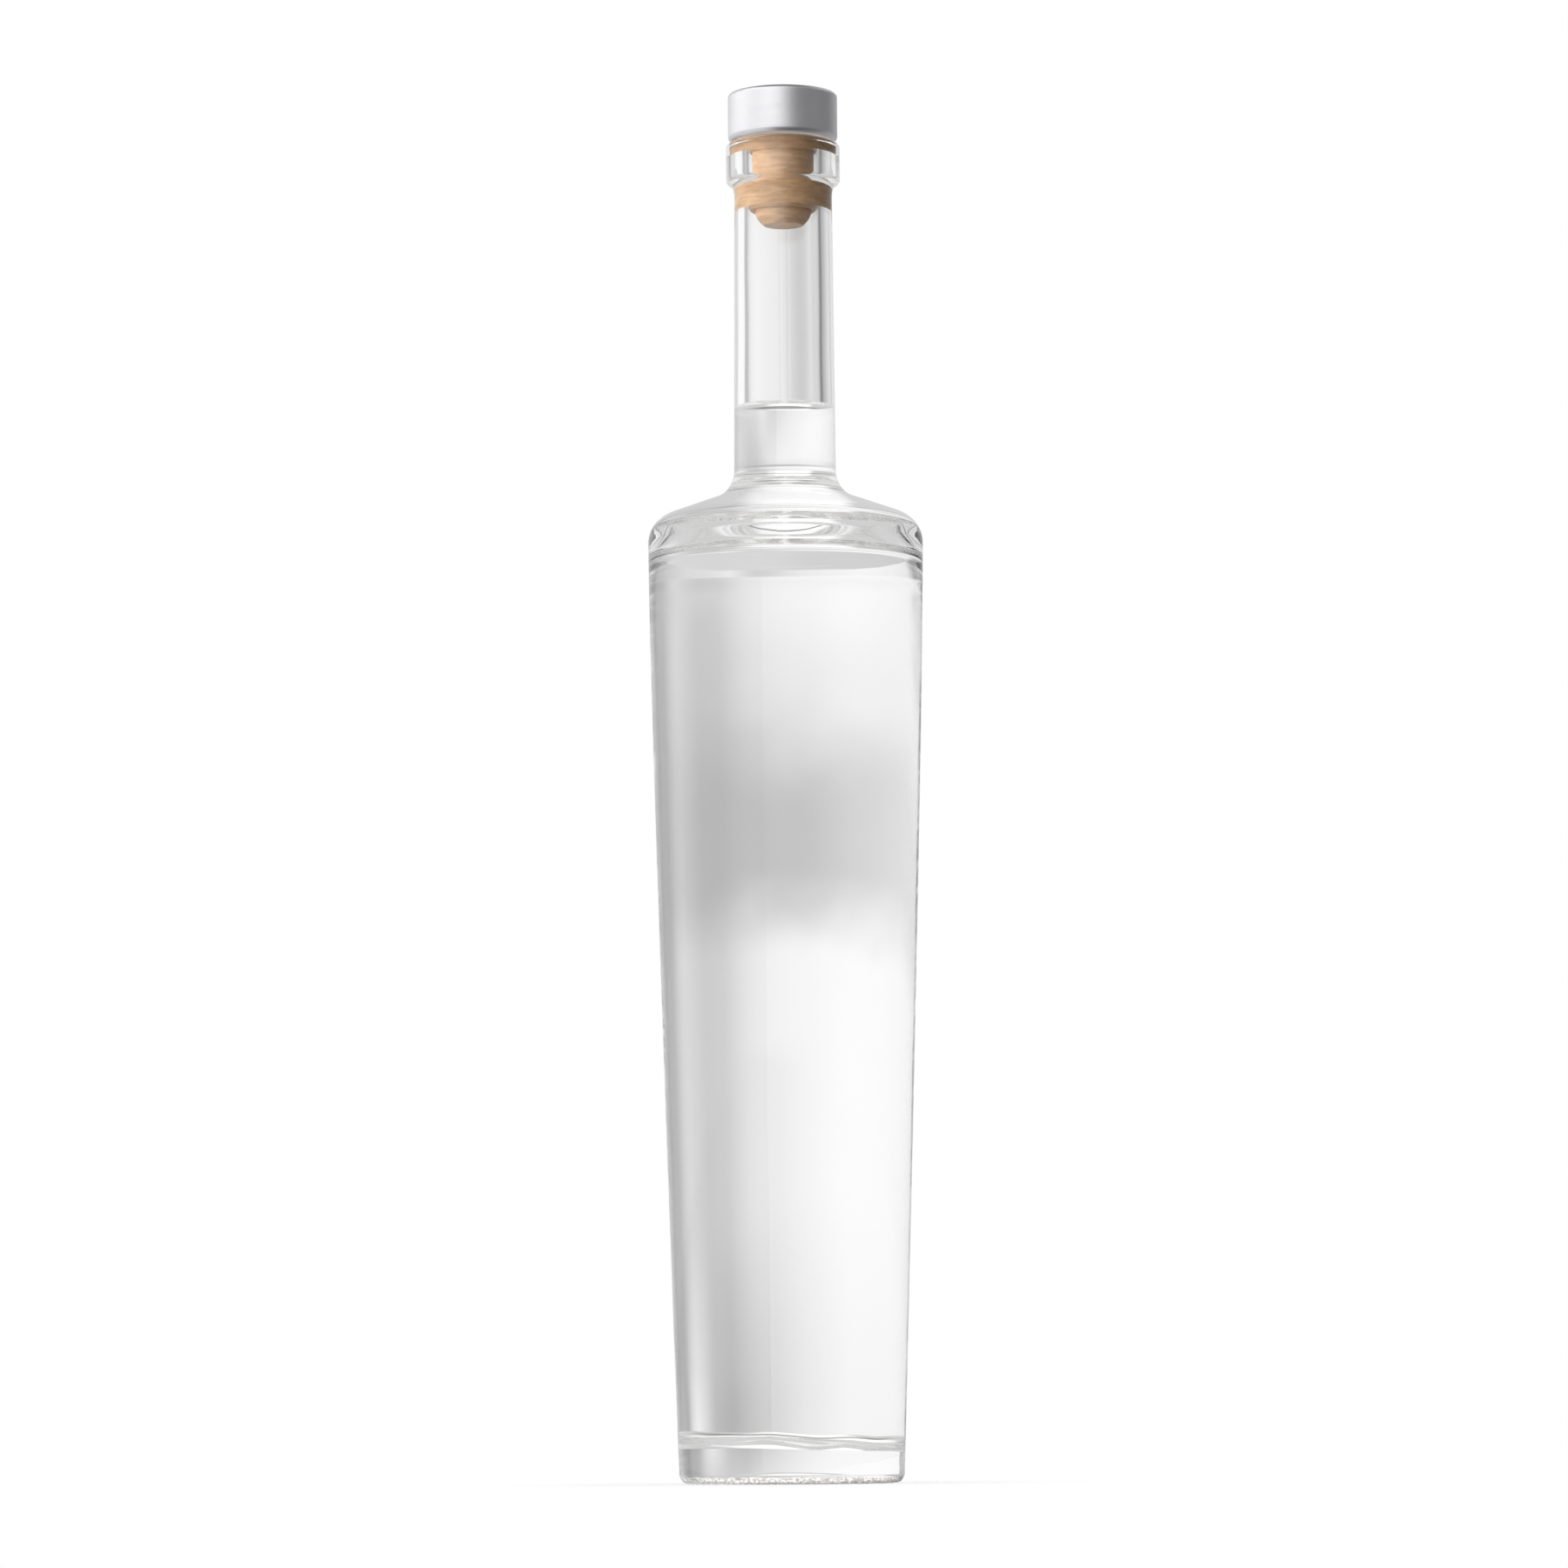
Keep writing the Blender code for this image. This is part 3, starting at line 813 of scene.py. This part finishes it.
def spirit_material(name, index):
    """Clear spirit, for its free surface or for the face that lies against the wet glass."""
    material, nodes = new_material(name)
    colour = nodes.tint(nodes.texture(*SPIRIT_SWIRL), *SPIRIT_COLOURS)
    return finish_material(material, nodes, Base_Color=colour, Roughness=0.0, Transmission_Weight=1.0,
                           IOR=index)


def aluminium_material():
    """Satin anodised aluminium with a fine grain that runs round the shell."""
    material, nodes = new_material("satin_aluminium")
    lines = nodes.texture(*METAL_LINES)
    grain = nodes.texture(*METAL_GRAIN)
    colour = nodes.tint(nodes.texture(*METAL_CLOUD), *METAL_COLOURS)
    roughness = nodes.smooth(lines, *MIDDLE_SHARES, *METAL_ROUGHNESS)
    roughness = nodes.math("ADD", roughness, nodes.math("MULTIPLY", grain, METAL_GRAIN_ROUGHNESS))
    relief = nodes.weigh(lines, grain, METAL_LINE_SHARE)
    return finish_material(material, nodes, relief, METAL_RELIEF, Base_Color=colour, Roughness=roughness,
                           Metallic=1.0)


def stopper_material(name, colours, mottle_texture):
    """Cork-coloured moulding with mottled tone, dark rings of painted groove shade, darker flecks and a fine
    skin.
    """
    material, nodes = new_material(name)
    mottle = nodes.texture(*mottle_texture)
    # Painted shade: dark rings by height in place of the shade in the shallow grooves.
    rings = nodes.smooth(nodes.texture(*STOPPER_GROOVE_SHADE), *GROOVE_SHADE_SHARES, 0, GROOVE_SHADE_STRENGTH_SHARE)
    flecks = nodes.smooth(nodes.texture(*STOPPER_FLECKS), *FLECK_SHARES, 0, FLECK_STRENGTH_SHARE)
    colour = nodes.tint(nodes.smooth(mottle, *MIDDLE_SHARES), *colours)
    colour = nodes.tint(rings, colour, GROOVE_SHADE_COLOUR)
    colour = nodes.tint(flecks, colour, FLECK_COLOUR)
    roughness = nodes.smooth(mottle, *MIDDLE_SHARES, *STOPPER_ROUGHNESS)
    relief = nodes.weigh(nodes.texture(*STOPPER_PORES), mottle, STOPPER_PORE_SHARE)
    return finish_material(material, nodes, relief, STOPPER_RELIEF, Base_Color=colour, Roughness=roughness,
                           Specular_IOR_Level=STOPPER_GLOSS)


def ramp(nodes, degrees, stops_in_degrees, unit=1.0):
    """Value read off a list of stops round the horizon."""
    share = nodes.math("MULTIPLY_ADD", degrees, 1 / 360, 0.5)
    ramp_node = nodes.add("ShaderNodeValToRGB", Fac=share)
    stops = ramp_node.color_ramp.elements
    for stop in list(stops)[1:]:
        stops.remove(stop)
    for number, (place, value) in enumerate(stops_in_degrees):
        position = place / 360 + 0.5
        stop = stops[0] if number == 0 else stops.new(position)
        stop.position = position
        stop.color = (value / unit, value / unit, value / unit, 1)
    return nodes.math("MULTIPLY", ramp_node.outputs["Color"], unit)


def metal_or_glass(nodes):
    """1 for rays that leave metal or pass through glass."""
    rays = nodes.rays()
    return nodes.math("ADD", rays["Is Glossy Ray"], rays["Is Transmission Ray"], clamp=True)


def inner_light(nodes, azimuth):
    """Light by direction that reaches matt surfaces inside the glass."""
    return ramp(nodes, azimuth, INNER_LIGHT, INNER_LIGHT_UNIT)


def floor_shade(nodes, reach, azimuth):
    """How much of the floor's glow is left behind the bottle and close to its foot."""
    ring = nodes.math("SUBTRACT", nodes.smooth(reach, *SHADE_START), nodes.smooth(reach, *SHADE_END))
    behind = nodes.smooth(nodes.math("ABSOLUTE", azimuth), *SHADE_SIDES, 1.0, 0.0)
    shade = nodes.blend(nodes.math("MULTIPLY", ring, behind), 1.0, SHADE_SHARE)
    return nodes.math("MULTIPLY", shade, nodes.smooth(reach, *CONTACT_REACH, CONTACT_SHARE, 1.0))


def floor_glow(nodes, azimuth, shade):
    """Brightness of the floor: white for the camera, and by direction for metal, glass and the stopper."""
    rays = nodes.rays()
    ground = nodes.blend(rays["Is Transmission Ray"], ramp(nodes, azimuth, METAL_GROUND_TONES),
                         ramp(nodes, azimuth, GROUND_TONES))
    tone = nodes.math("MULTIPLY", ground, nodes.math("MULTIPLY", shade, CARD_LEVEL))
    glow = nodes.blend(rays["Is Camera Ray"], tone, 1.0)
    inner = nodes.math("MULTIPLY", inner_light(nodes, azimuth), INNER_GROUND_SHARE)
    return nodes.blend(nodes.math("MULTIPLY", rays["Diffuse Depth"], 1.0, clamp=True), glow, inner)


def floor_material():
    """Pale floor that meets the white background and keeps the bottle's shadow."""
    material, nodes = new_material("pale_floor")
    place = nodes.place()
    reach = nodes.add("ShaderNodeVectorMath", {"operation": "LENGTH"}, Vector=place).outputs["Value"]
    azimuth = nodes.azimuth(place)
    shade = floor_shade(nodes, reach, azimuth)
    shown_in = metal_or_glass(nodes)
    warmth = nodes.math("MULTIPLY", nodes.math("SUBTRACT", 1.0, shade), shown_in)
    colour = nodes.tint(warmth, WHITE, SHADE_COLOUR)
    glow = nodes.add("ShaderNodeEmission", Color=colour, Strength=floor_glow(nodes, azimuth, shade))
    paint = nodes.add("ShaderNodeBsdfDiffuse", Color=FLOOR_COLOUR)
    far = nodes.smooth(reach, *FLOOR_WHITE_REACH, FLOOR_WHITE_SHARE, 1.0)
    mixed = nodes.add("ShaderNodeMixShader", Fac=nodes.blend(nodes.rays()["Is Camera Ray"], shown_in, far))
    nodes.feed(mixed.inputs[1], paint.outputs[0])
    nodes.feed(mixed.inputs[2], glow.outputs[0])
    nodes.add("ShaderNodeOutputMaterial", Surface=mixed.outputs[0])
    return material


def cloud_share(nodes, way, azimuth, elevation):
    """How much of the cards' brightness a soft cloud leaves."""
    wander = nodes.noise(nodes.stretched(way, CLOUD_WANDER_STRETCH), CLOUD_WANDER_SCALE, 1)
    off_square = nodes.math("POWER", nodes.math("ABSOLUTE", azimuth), 2.0)
    sag = nodes.math("MULTIPLY", nodes.math("MINIMUM", off_square, CLOUD_SAG_LIMIT), CLOUD_SAG)
    level = nodes.math("SUBTRACT", nodes.math("SUBTRACT", elevation, sag), CLOUD_WANDER / 2)
    height = nodes.math("MULTIPLY_ADD", wander, CLOUD_WANDER, level)
    rise = nodes.smooth(height, *CLOUD_RISE)
    fall = nodes.math("MULTIPLY", nodes.smooth(height, *CLOUD_FALL), 1 - CLOUD_TAIL_SHARE)
    fall = nodes.math("MULTIPLY_ADD", nodes.smooth(height, *CLOUD_TAIL), CLOUD_TAIL_SHARE, fall)
    lost = nodes.math("MULTIPLY", nodes.math("SUBTRACT", rise, fall), ramp(nodes, azimuth, CLOUD_SHARES))
    return nodes.math("SUBTRACT", 1.0, lost)


def edge_share(nodes, azimuth, elevation):
    """How much of the cards is left beside their ragged side edges, which line the bottle's outline."""
    place = nodes.add("ShaderNodeCombineXYZ", Z=elevation).outputs["Vector"]
    ragged = nodes.math("SUBTRACT", nodes.noise(place, EDGE_RAGGED_SCALE, 2), 0.5)
    return ramp(nodes, nodes.math("MULTIPLY_ADD", ragged, EDGE_RAGGED_REACH, azimuth), EDGE_SHARES)


def card_tone(nodes, way, azimuth, elevation):
    """Brightness of the pale cards that show through the glass."""
    low = ramp(nodes, azimuth, LOW_TONES, TONE_UNIT)
    clear = ramp(nodes, azimuth, CLEAR_TONES, TONE_UNIT)
    upper = ramp(nodes, azimuth, UPPER_TONES, TONE_UNIT)
    card = nodes.blend(nodes.smooth(elevation, *LOW_TO_CLEAR), low, clear)
    card = nodes.math("MULTIPLY", card, cloud_share(nodes, way, azimuth, elevation))
    card = nodes.blend(nodes.smooth(elevation, *CLEAR_TO_UPPER), card, upper)
    return nodes.math("MULTIPLY", card, edge_share(nodes, azimuth, elevation))


def ceiling_tone(nodes, azimuth, elevation, through):
    """Brightness over the cards, which differs where metal shows it."""
    metal_ceiling = ramp(nodes, azimuth, METAL_CEILING_TONES, CEILING_UNIT)
    metal_ceiling = nodes.smooth(elevation, *ZENITH, metal_ceiling, ZENITH_TONE)
    return nodes.blend(through, metal_ceiling, CEILING_TONE)


def ground_tone(nodes, azimuth, elevation, through):
    """Brightness under the horizon, with a darker band far off that only glass shows."""
    far_start = nodes.smooth(elevation, *FAR_GROUND_START)
    far_band = nodes.math("SUBTRACT", far_start, nodes.smooth(elevation, *FAR_GROUND_END))
    far_share = nodes.blend(far_band, 1.0, FAR_GROUND_SHARE)
    glass_ground = nodes.math("MULTIPLY", ramp(nodes, azimuth, GROUND_TONES), far_share)
    return nodes.blend(through, ramp(nodes, azimuth, METAL_GROUND_TONES), glass_ground)


def studio_tone(nodes):
    """Brightness of the studio by direction, and of the light inside the glass for matt surfaces there."""
    way = nodes.add("ShaderNodeTexCoord").outputs["Generated"]
    azimuth = nodes.azimuth(way)
    elevation = nodes.math("DEGREES", nodes.math("ARCSINE", nodes.parts(way)["Z"]))
    rays = nodes.rays()
    through = rays["Is Transmission Ray"]
    card = nodes.blend(through, ramp(nodes, azimuth, METAL_TONES, TONE_UNIT),
                       card_tone(nodes, way, azimuth, elevation))
    top = ramp(nodes, azimuth, CARD_TOPS, CARD_TOP_UNIT)
    above = nodes.smooth(elevation, top, nodes.math("ADD", top, CARD_EDGE_SOFTNESS))
    below = nodes.smooth(elevation, *HORIZON)
    tone = nodes.blend(above, card, ceiling_tone(nodes, azimuth, elevation, through))
    tone = nodes.blend(below, tone, ground_tone(nodes, azimuth, elevation, through))
    inner = nodes.math("MULTIPLY", inner_light(nodes, azimuth), nodes.blend(below, 1.0, INNER_GROUND_SHARE))
    inside = nodes.math("MULTIPLY", rays["Diffuse Depth"], through, clamp=True)
    return nodes.math("MULTIPLY", nodes.blend(inside, tone, inner), CARD_LEVEL)


def make_world():
    """White for the camera, the studio for metal and glass, and plain soft light for the rest."""
    world = bpy.data.worlds.new("studio")
    bpy.context.scene.world = world
    world.use_nodes = True
    nodes = Nodes(world.node_tree)
    studio = nodes.blend(metal_or_glass(nodes), ROOM_TONE, studio_tone(nodes))
    strength = nodes.blend(nodes.rays()["Is Camera Ray"], studio, 1.0)
    light = nodes.add("ShaderNodeBackground", Color=WHITE, Strength=strength)
    nodes.add("ShaderNodeOutputWorld", Surface=light.outputs[0])
    world.cycles.sampling_method = "NONE"


def make_lamp(name, place, size, power):
    """Soft rectangular lamp that faces the upper part of the bottle, and that metal and glass don't show."""
    data = bpy.data.lights.new(name, "AREA")
    data.shape = "RECTANGLE"
    data.size, data.size_y = size
    data.energy = power
    lamp = add_object(name, data)
    lamp.location = place
    target = Vector((0, 0, MOUTH * LAMP_TARGET_SHARE))
    lamp.rotation_euler = (target - Vector(place)).to_track_quat("-Z", "Y").to_euler()
    lamp.visible_transmission = False
    lamp.visible_glossy = False


def make_lights():
    """Key lamp from the left, and a weak one from above."""
    make_lamp("key_lamp", *KEY_LAMP)
    make_lamp("top_lamp", *TOP_LAMP)


def make_floor():
    """Plain pale floor a hair under the bottle."""
    mesh = bpy.data.meshes.new("floor")
    half = FLOOR_HALF
    corners = [(-half, -half, 0), (half, -half, 0), (half, half, 0), (-half, half, 0)]
    mesh.from_pydata(corners, [], [(0, 1, 2, 3)])
    mesh.materials.append(floor_material())
    floor = add_object("floor", mesh)
    floor.location.z = -FLOOR_SINK


def make_camera():
    """Camera at the photograph's place: low, level with the foot, and looking slightly up."""
    top_distance = CAMERA_DISTANCE - CAP_RADIUS * TOP_EDGE_SHARE
    head = math.atan((CAD_BOX[1].z - CAMERA_HEIGHT) / top_distance)
    foot = math.atan(-CAMERA_HEIGHT / CAMERA_DISTANCE)
    focal_pixels = (BOTTOM_PIXEL - TOP_PIXEL) / 2 / math.tan((head - foot) / 2)
    data = bpy.data.cameras.new("camera")
    data.sensor_width = SENSOR_WIDTH
    data.lens = focal_pixels * SENSOR_WIDTH / FRAME_PIXELS
    yaw = math.atan((AXIS_PIXEL - FRAME_PIXELS / 2) / focal_pixels)
    turn = Matrix.Rotation(yaw, 4, "Z") @ Matrix.Rotation((head + foot) / 2, 4, "X")
    level = Matrix.Rotation(math.pi / 2, 4, "X") @ Matrix.Rotation(CAMERA_ROLL, 4, "Z")
    camera = add_object("camera", data)
    camera.matrix_world = Matrix.Translation((0, -CAMERA_DISTANCE, CAMERA_HEIGHT)) @ turn @ level
    bpy.context.scene.camera = camera


def dress(piece, materials, body, node):
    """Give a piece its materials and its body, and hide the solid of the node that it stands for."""
    for material in materials:
        piece.data.materials.append(material)
    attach(piece, body)
    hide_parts(node)


def make_bottle():
    """Bottle and stopper, each piece in place of its solid."""
    glass_in_air = glass_material("glass_in_air", GLASS_INDEX)
    glass_in_spirit = glass_material("glass_in_spirit", GLASS_INDEX / SPIRIT_INDEX)
    spirit_in_air = spirit_material("spirit_in_air", SPIRIT_INDEX)
    spirit_on_glass = spirit_material("spirit_on_glass", 1.0)
    # The core's darker cork colour is painted shade from the cap over it.
    core = stopper_material("core_moulding", SHADED_CORE_COLOURS, CORE_MOTTLE)
    plug = stopper_material("plug_moulding", PLUG_COLOURS, PLUG_MOTTLE)
    dress(make_glass(), [glass_in_air, glass_in_spirit], "bottle", "glass_bottle")
    dress(make_spirit(), [spirit_in_air, spirit_on_glass], "bottle", "spirit")
    dress(make_cap(), [aluminium_material()], "stopper", "cap_shell")
    dress(make_head(), [core], "stopper", "stopper_head")
    dress(make_shank(), [plug], "stopper", "stopper_shank")


def set_ray_depth():
    """Enough bounces for light that runs a long way inside the glass to get out again."""
    cycles = bpy.context.scene.cycles
    cycles.max_bounces = RAY_DEPTH
    cycles.transmission_bounces = RAY_DEPTH
    cycles.glossy_bounces = RAY_DEPTH


make_camera()
make_floor()
make_world()
make_lights()
make_bottle()
set_ray_depth()
bpy.context.scene.view_settings.view_transform = "Standard"
